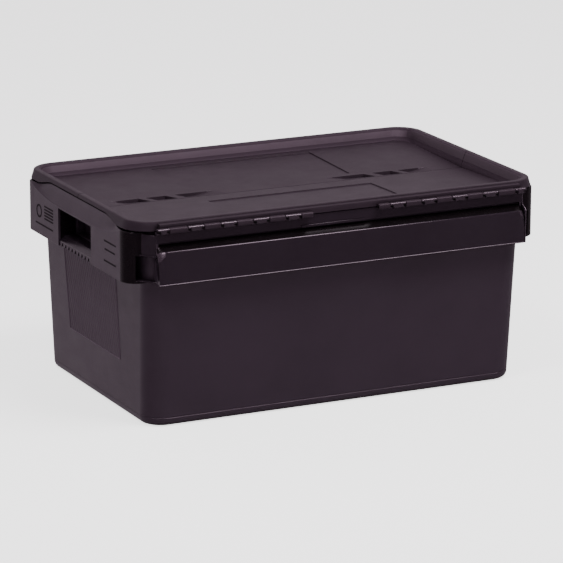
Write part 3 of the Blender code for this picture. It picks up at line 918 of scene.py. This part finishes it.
def rim_rings():
    """Rings of the rim's closed section: up the inner wall, over the crest and down outside."""
    outline = [
        (0.2780, 0.1695, 0.2621),
        (0.2789, 0.1704, 0.2636),
        (0.2798, 0.1713, 0.2665),
        (0.2828, 0.1743, 0.2752),
        (0.2836, 0.1750, 0.2769),
        (0.2848, 0.1761, 0.2779),
        (0.2862, 0.1774, CREST_Z),
        (0.2908, 0.1816, CREST_Z),
        (0.2922, 0.1829, 0.2781),
        (0.2931, 0.1837, 0.2777),
        (0.2937, 0.1841, 0.2770),
    ]
    rings = [[Vector((p.x, p.y, floor_z(p.y) - 0.0004)) for p in rim_path(0.2770, 0.1685)]]
    for half_x, half_y, z in outline:
        rings.append([Vector((p.x, p.y, z)) for p in rim_path(half_x, half_y)])
    outer, inner = [], []
    low_out = rim_path(0.2975, 0.1845)
    low_in = rim_path(0.2950, 0.1820)
    under = rim_path(0.2905, 0.1815)
    for top, low, up, deep in zip(rings[-1], low_out, under, low_in):
        t = smooth_step(abs(low.y), SCOOP_FLAT, SCOOP_END)
        edge_z = RIM_SIDE_Z + (RIM_CORNER_Z - RIM_SIDE_Z) * t
        share = (top.z - edge_z) / (top.z - RIM_CORNER_Z)
        outer.append(Vector((*top.xy.lerp(low.xy, share), edge_z)))
        share = (CREST_Z - SHEET - edge_z) / (CREST_Z - SHEET - RIM_CORNER_Z)
        inner.append(Vector((*up.xy.lerp(deep.xy, share), edge_z)))
    half = [a.lerp(b, 0.5) for a, b in zip(rings[-1], outer)]
    rings += [half, [p + Vector((0, 0, 0.0005)) for p in outer]]
    rings += [[a.lerp(b, 0.25) for a, b in zip(outer, inner)]]
    rings += [[a.lerp(b, 0.75) for a, b in zip(outer, inner)]]
    rings += [[p + Vector((0, 0, 0.0005)) for p in inner]]
    rings.append([Vector((p.x, p.y, CREST_Z - SHEET)) for p in under])
    rings.append([Vector((p.x, p.y, CREST_Z - SHEET)) for p in rim_path(0.2862, 0.1775)])
    rings.append([Vector((p.x, p.y, floor_z(p.y) - SHEET)) for p in rim_path(0.2812, 0.1727)])
    return rings


def rim():
    """The rim of a lid half, as a closed section swept from seam to seam."""
    rings = rim_rings()
    stations = [[ring[i] for ring in rings] for i in range(len(rings[0]))]
    return loft(stations)


def pocket_depth(x, y, far):
    """Depth of the wedge-shaped pockets beside the seam, which only one half has."""
    if not far or not POCKETS_Y[0] < abs(y) < POCKETS_Y[1]:
        return 0.0
    for start, end, slope in POCKETS_X + tuple((-b, -a, -r) for a, b, r in POCKETS_X):
        if start < x < end:
            share = (x - start) / (end - start)
            share = {1: share, -1: 1 - share, 0: 1.0}[slope]
            return POCKET_DEPTH * min(share * 1.5, 1.0)
    return 0.0


def grid_lines(edges, step):
    """Grid positions that hug each feature edge and fill the spaces between."""
    lines = []
    for edge in sorted(edges):
        lines += [edge - 0.0003, edge + 0.0003]
    filled = []
    for low, high in zip(lines, lines[1:]):
        count = max(1, round((high - low) / step))
        filled += [low + (high - low) * i / count for i in range(count)]
    return filled + [lines[-1]]


def floor_point(x, y, drop, far):
    """A point of the lid's floor, on top for drop 0, fitted to the round corners."""
    half_x, half_y = LID_FLOOR
    reach = half_x
    arc_y = half_y - LID_FLOOR_CORNER
    if y > arc_y:
        lean = (y - arc_y) / LID_FLOOR_CORNER
        reach = half_x - LID_FLOOR_CORNER * (1 - max(0.0, 1 - lean * lean) ** 0.5)
    if abs(x) > LID_KNEE_X:
        shift = (abs(x) - LID_KNEE_X) / (half_x - LID_KNEE_X)
        x = (LID_KNEE_X + shift * (reach - LID_KNEE_X)) * (1 if x > 0 else -1)
    z = floor_z(y) - drop
    in_band = POCKETS_Y[0] - 0.0005 < y < POCKETS_Y[1] + 0.0005
    if drop > 0.0 and in_band:
        z -= POCKET_UNDER
    if drop == 0.0:
        if abs(x) < PANEL_X and PANEL_Y[0] < y < PANEL_Y[1]:
            z -= PANEL_DEPTH
        z -= pocket_depth(x, y, far)
    if far and in_band and POCKET_LEAN_X[0] < abs(x) < POCKET_LEAN_X[1]:
        x += POCKET_LEAN * (y - (POCKETS_Y[0] + POCKETS_Y[1]) / 2)
    return Vector((x, -y, z))


def lid_floor(far):
    """The sunken floor of a lid half, with its panel and, on the far half, the seam pockets."""
    half_x, half_y = LID_FLOOR
    x_edges = {0.0, PANEL_X, LID_KNEE_X} | {-x for pocket in POCKETS_X for x in pocket[:2]}
    xs = grid_lines({s * x for x in x_edges for s in (1, -1)}, 0.010)
    xs = [-half_x, -0.2620] + xs + [0.2620, half_x]
    ys = grid_lines({*POCKETS_Y, *PANEL_Y}, 0.012)
    ys = [SEAM] + ys + [0.1600, 0.1640, 0.1675, half_y]
    bm = bmesh.new()
    sheets = []
    for drop in (0.0, SHEET):
        sheets.append([[bm.verts.new(floor_point(x, y, drop, far)) for x in xs] for y in ys])
    rows, columns = len(ys), len(xs)
    for top in sheets:
        for j in range(rows - 1):
            for i in range(columns - 1):
                bm.faces.new((top[j][i], top[j][i + 1], top[j + 1][i + 1], top[j + 1][i]))
    upper, lower = sheets
    border = [(0, i) for i in range(columns)] + [(j, columns - 1) for j in range(1, rows)]
    border += [(rows - 1, i) for i in range(columns - 2, -1, -1)]
    border += [(j, 0) for j in range(rows - 2, 0, -1)]
    for (a, b), (c, d) in zip(border, border[1:] + border[:1]):
        bm.faces.new((upper[a][b], upper[c][d], lower[c][d], lower[a][b]))
    return bm


def lid_rail():
    """The bar along the hinge side, with a step down from the crest, cleared round each lug."""
    section = [
        (-0.1828, 0.2764),
        (-0.1850, 0.2758),
        (-RAIL_Y + 0.0008, 0.2755),
        (-RAIL_Y + 0.0002, 0.2752),
        (-RAIL_Y, 0.2746),
        (-RAIL_Y, AXIS_Z + 0.0002),
        (-RAIL_Y + 0.0004, AXIS_Z - 0.0002),
        (-0.1828, AXIS_Z - 0.0002),
    ]
    return prism_x(section, -RAIL_HALF, RAIL_HALF)


def knuckles(end):
    """The bars of a lid's knuckles at one end, each with the foot that joins it to the rail."""
    parts = []
    for start, stop in mirrored(groups()[1], end):
        parts.append(rounded_bar(start, stop))
        low = (start + 0.0002, -AXIS_Y + 0.0020, AXIS_Z)
        parts.append(box(low, (stop - 0.0002, -AXIS_Y + 0.0055, AXIS_Z + BAR_HALF - 0.0002)))
    return merge(parts)


def rim_reach(point):
    """Distance outward from the centres of the rim's corners, or from the lines between them."""
    return Vector((max(abs(point.x) - RIM_ARC_X, 0), max(abs(point.y) - RIM_ARC_Y, 0))).length


def on_rim_wall(point):
    """Whether a point is on the rim's inner wall."""
    return RIM_WALL[0] < rim_reach(point) < RIM_WALL[1]


def on_rim_edges(point):
    """Whether a point is on the inner wall's foot or on its rounded top."""
    return rim_reach(point) < RIM_FOOT or RIM_ROUND[0] < rim_reach(point) < RIM_ROUND[1]


def make_lid(name, looks, turned):
    """One lid half: floor, rim, rail and two groups of knuckles."""
    look = looks["lid"]
    floor = piece(name + "_floor", lid_floor(turned), name, look, turned, FLOOR_SHARP)
    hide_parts(name)
    edge = piece(name + "_rim", rim(), name, look, turned)
    show(edge, looks["rim_skirt"], lambda c: c.z < RIM_SKIRT_Z and rim_reach(c) > RIM_SKIRT)
    # Painted light: the inner walls, their foot and their rounded top take lighter copies of the
    # lid plastic.
    show(edge, looks["short_wall_lit"], on_rim_wall)
    show(edge, looks["long_wall_lit"], lambda c: on_rim_wall(c) and abs(c.y) > LONG_WALL_Y)
    show(edge, looks["rim_edge_lit"], on_rim_edges)
    rail = piece(name + "_rail", lid_rail(), name, look)
    lugs = [r for end in (1, -1) for r in mirrored(groups()[0], end)]
    rooms = [cylinder_x(a - GAP, b + GAP, -AXIS_Y, AXIS_Z, LUG_ROOM) for a, b in lugs]
    carve(rail, [merge(rooms)])
    if turned:
        rail.data.transform(TURN)
    for end, hand in ((-1, "left"), (1, "right")):
        side = -end if turned else end
        piece("%s_knuckles_%s" % (name, hand), knuckles(side), name, look, turned)


def make_rod(node_name, look):
    """A wire rod with eased ends in the CAD rod's place."""
    low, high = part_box(node_name)
    y = (low.y + high.y) / 2
    turns = [i / ROD_SIDES * 2 * pi for i in range(ROD_SIDES)]
    rings = []
    for x, inset in eased(low.x, high.x, ROD_EASE):
        radius = ROD_RADIUS - inset
        rings.append([Vector((x, y + radius * cos(a), AXIS_Z + radius * sin(a))) for a in turns])
    rod = piece(node_name + "_wire", loft(rings), "tub", look)
    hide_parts(node_name)


# Studio


def make_floor():
    """A plain pale floor that glows for the camera only, so its light doesn't reach the tote."""
    bm = bmesh.new()
    bmesh.ops.create_grid(bm, x_segments=1, y_segments=1, size=FLOOR_SIZE)
    mesh = bpy.data.meshes.new("studio_floor")
    bm.to_mesh(mesh)
    bm.free()
    floor = bpy.data.objects.new("studio_floor", mesh)
    floor.location = (0, 0, -0.0002)
    bpy.context.scene.collection.objects.link(floor)
    material = bpy.data.materials.new("studio_floor")
    tree = nodes_of(material)
    coords = tree.nodes.new("ShaderNodeTexCoord").outputs["Object"]
    tint = ranged(tree, noise_fac(tree, coords, 3.0), 0.80, 0.82)
    shader = node(tree, "ShaderNodeBsdfPrincipled", Roughness=0.8)
    seen = tree.nodes.new("ShaderNodeLightPath").outputs["Is Camera Ray"]
    glow = math_node(tree, "MULTIPLY", seen, FLOOR_GLOW)
    tree.links.new(glow, shader.inputs["Emission Strength"])
    shader.inputs["Emission Color"].default_value = (1.0, 1.0, 1.0, 1.0)
    tree.links.new(tint, shader.inputs["Base Color"])
    out = tree.nodes.new("ShaderNodeOutputMaterial")
    tree.links.new(shader.outputs["BSDF"], out.inputs["Surface"])
    mesh.materials.append(material)
    floor.visible_glossy = False


def area_light(name, position, size, power):
    """A soft rectangular light that points at the tote."""
    light = bpy.data.lights.new(name, "AREA")
    light.shape = "RECTANGLE"
    light.size, light.size_y = size
    light.energy = power
    obj = bpy.data.objects.new(name, light)
    obj.location = position
    aim = Vector(LIGHT_TARGET) - Vector(position)
    obj.rotation_euler = aim.to_track_quat("-Z", "Y").to_euler()
    bpy.context.scene.collection.objects.link(obj)


def make_world():
    """A pale backdrop for the camera, and light from all round, brightest behind the tote."""
    world = bpy.data.worlds.new("studio")
    bpy.context.scene.world = world
    world.use_nodes = True
    tree = world.node_tree
    tree.nodes.clear()
    path = tree.nodes.new("ShaderNodeLightPath")
    seen = node(tree, "ShaderNodeBackground", Strength=BACKDROP_GLOW)
    seen.inputs["Color"].default_value = (0.93, 0.93, 0.93, 1)
    light = node(tree, "ShaderNodeBackground", Strength=1.0)
    coords = tree.nodes.new("ShaderNodeTexCoord").outputs["Generated"]
    facing = tree.nodes.new("ShaderNodeVectorMath")
    facing.operation = "DOT_PRODUCT"
    facing.inputs[1].default_value = WORLD_FACING
    tree.links.new(coords, facing.inputs[0])
    level = ranged(tree, facing.outputs["Value"], WORLD_DARK, WORLD_BRIGHT, 0.2, 0.85)
    tree.links.new(multiplied(tree, WORLD_TINT, level), light.inputs["Color"])
    mix = tree.nodes.new("ShaderNodeMixShader")
    out = tree.nodes.new("ShaderNodeOutputWorld")
    tree.links.new(path.outputs["Is Camera Ray"], mix.inputs["Fac"])
    tree.links.new(light.outputs["Background"], mix.inputs[1])
    tree.links.new(seen.outputs["Background"], mix.inputs[2])
    tree.links.new(mix.outputs["Shader"], out.inputs["Surface"])


def make_lights():
    """A large light above, a small one for the left corner's glint and a weak one in front."""
    area_light("overhead", (0.75, -1.10, 2.30), (1.3, 1.0), 62)
    area_light("corner_glint", (-1.15, -0.75, 2.35), (0.5, 0.5), 21)
    area_light("front_fill", (-1.50, -3.40, 1.50), (1.8, 1.0), 15)


def make_camera():
    """A long lens from the front left, a little above."""
    level = cos(ELEVATION)
    back = Vector((sin(AZIMUTH) * level, -cos(AZIMUTH) * level, sin(ELEVATION)))
    right = Vector((cos(AZIMUTH), sin(AZIMUTH), 0))
    up = back.cross(right)
    tilted_right = right * cos(ROLL) + up * sin(ROLL)
    tilted_up = up * cos(ROLL) - right * sin(ROLL)
    data = bpy.data.cameras.new("camera")
    data.sensor_width = SENSOR
    data.lens = SENSOR * FOCAL
    data.clip_end = 60
    camera = bpy.data.objects.new("camera", data)
    aim = AIM + AIM_SHIFT[0] * tilted_right + AIM_SHIFT[1] * tilted_up
    turn = Matrix((tilted_right, tilted_up, back)).transposed().to_4x4()
    camera.matrix_world = Matrix.Translation(aim + DISTANCE * back) @ turn
    bpy.context.scene.collection.objects.link(camera)
    bpy.context.scene.camera = camera


# The whole


def make_looks():
    """The finishes of the one plastic, several of them lighter or darker copies that paint light
    and shade: name, colour, roughness, specular, grain and reach of the painted shade in crevices.
    """
    return {
        "tub": plastic("tub_plastic_look", (0.029, 0.0195, 0.0285), 0.40, 0.40),
        "lid": plastic("lid_plastic_look", (0.022, 0.0140, 0.0203), 0.48, 0.25, 1.0, 0.005),
        # Painted light: lighter copies of the lid plastic for the rim's inner walls, long and
        # short, and a lighter, less glossy one for their foot and rounded top.
        "long_wall_lit": plastic("lid_wall_lit_plastic_look", (0.048, 0.0315, 0.0440), 0.40, 0.80),
        "short_wall_lit": plastic("lid_end_lit_plastic_look", (0.036, 0.0236, 0.0330), 0.45, 0.50),
        "rim_edge_lit": plastic("lid_edge_lit_plastic_look", (0.040, 0.0256, 0.0368), 0.60, 0.12),
        # Painted highlight: a lighter, glossier copy of the flange plastic for the flange's cone
        # corners and its end rib.
        "cone": plastic("cone_glint_plastic_look", (0.024, 0.0165, 0.0235), 0.28, 1.0, 0.3),
        "rim_skirt": plastic("lid_side_plastic_look", (0.022, 0.0140, 0.0205), 0.45, 0.26),
        "gloss": plastic("flange_plastic_look", (0.0150, 0.0100, 0.0148), 0.17, 0.38, 0.1),
        "lug": plastic("lug_plastic_look", (0.022, 0.0150, 0.0210), 0.24, 0.60, 0.3),
        # Painted shade: a near-black copy of the plastic for the corner posts, the skirt ribs, the
        # lip's foot and the flange's top, which lie in shade or reflect dark.
        "post": plastic("shaded_plastic_look", (0.0045, 0.0030, 0.0038), 0.26, 0.20, 0.3),
        # Painted light: a lighter copy of the tub plastic, so that the hatch ribs' lit crests
        # show.
        "grip_lit": plastic("grip_lit_plastic_look", (0.060, 0.0410, 0.0585), 0.38, 0.80, shade_reach=0.002),
        "mark": plastic("mark_plastic_look", (0.012, 0.0085, 0.0110), 0.70, 0.15),
    }


def tub_piece(name, bm, look, turned, sharp=SHARP):
    """A piece of the tub's plastic, turned or not."""
    return piece("tub_" + name, bm, "tub", look, turned, sharp)


def make_short_side(looks, turned):
    """What a short side of the tub carries outside the shell."""
    name = "right" if turned else "left"
    make_skirt(name, looks["tub"], looks["post"], turned)
    bevel(tub_piece("webs_" + name, post_webs(), looks["gloss"], turned), 0.0004)
    # Painted shade on the ribs under the skirt and on the foot of the hand-hold's lip.
    tub_piece("ribs_" + name, skirt_ribs(), looks["post"], turned)
    lip = tub_piece("hand_lip_" + name, hand_lip(), looks["post"], turned)
    show(lip, looks["gloss"], lambda c: c.z > LIP_SHADE_Z)
    tub_piece("lip_teeth_" + name, lip_teeth(), looks["tub"], turned)
    tub_piece("marks_" + name, marks(), looks["mark"], turned)
    # Painted light: the hatch ribs are coloured lighter for their lit crests.
    tub_piece("grip_" + name, grip_panel(), looks["grip_lit"], turned, GRIP_SHARP)


def make_long_side(looks, turned):
    """What a long side of the tub carries outside the shell, with its two groups of lugs."""
    name = "back" if turned else "front"
    box_flange = tub_piece("flange_" + name, flange(), looks["gloss"], turned)
    # Painted shade on the flange's sloped top.
    show(box_flange, looks["post"], lambda c: c.z > GLINT_Z[1] and abs(c.y) < FLANGE_SHADE_Y)
    # Painted glint on the cone-shaped ends, and painted highlight on the end rib.
    show(box_flange, looks["cone"], lambda c: abs(c.x) > GLINT_X and GLINT_Z[0] < c.z < GLINT_Z[1])
    bevel(tub_piece("flange_rib_" + name, flange_rib(), looks["cone"], turned), 0.0004)
    bevel(tub_piece("flange_ends_" + name, flange_ends(), looks["tub"], turned), 0.0007)
    bevel(tub_piece("collar_" + name, collar(), looks["gloss"], turned), 0.0004)
    for end in (1, -1):
        hand = "right" if end * (-1 if turned else 1) > 0 else "left"
        for index, (start, stop) in enumerate(mirrored(groups()[0], end)):
            lug_name = "tub_lug_%s_%s_%d" % (name, hand, index + 1)
            make_lug(lug_name, start, stop, looks["lug"], turned)


def main():
    """Builds the looks, the tub, both lid halves, the rods and the studio."""
    looks = make_looks()
    steel = wire_steel("rod_steel_look")
    make_shell(looks["tub"])
    make_deck(looks["tub"])
    for turned in (False, True):
        make_short_side(looks, turned)
        make_long_side(looks, turned)
    make_lid("front_lid", looks, False)
    make_lid("back_lid", looks, True)
    for name in sorted(frame["nodes"]):
        if name.endswith("_rod"):
            make_rod(name, steel)
    make_floor()
    make_world()
    make_lights()
    make_camera()


main()
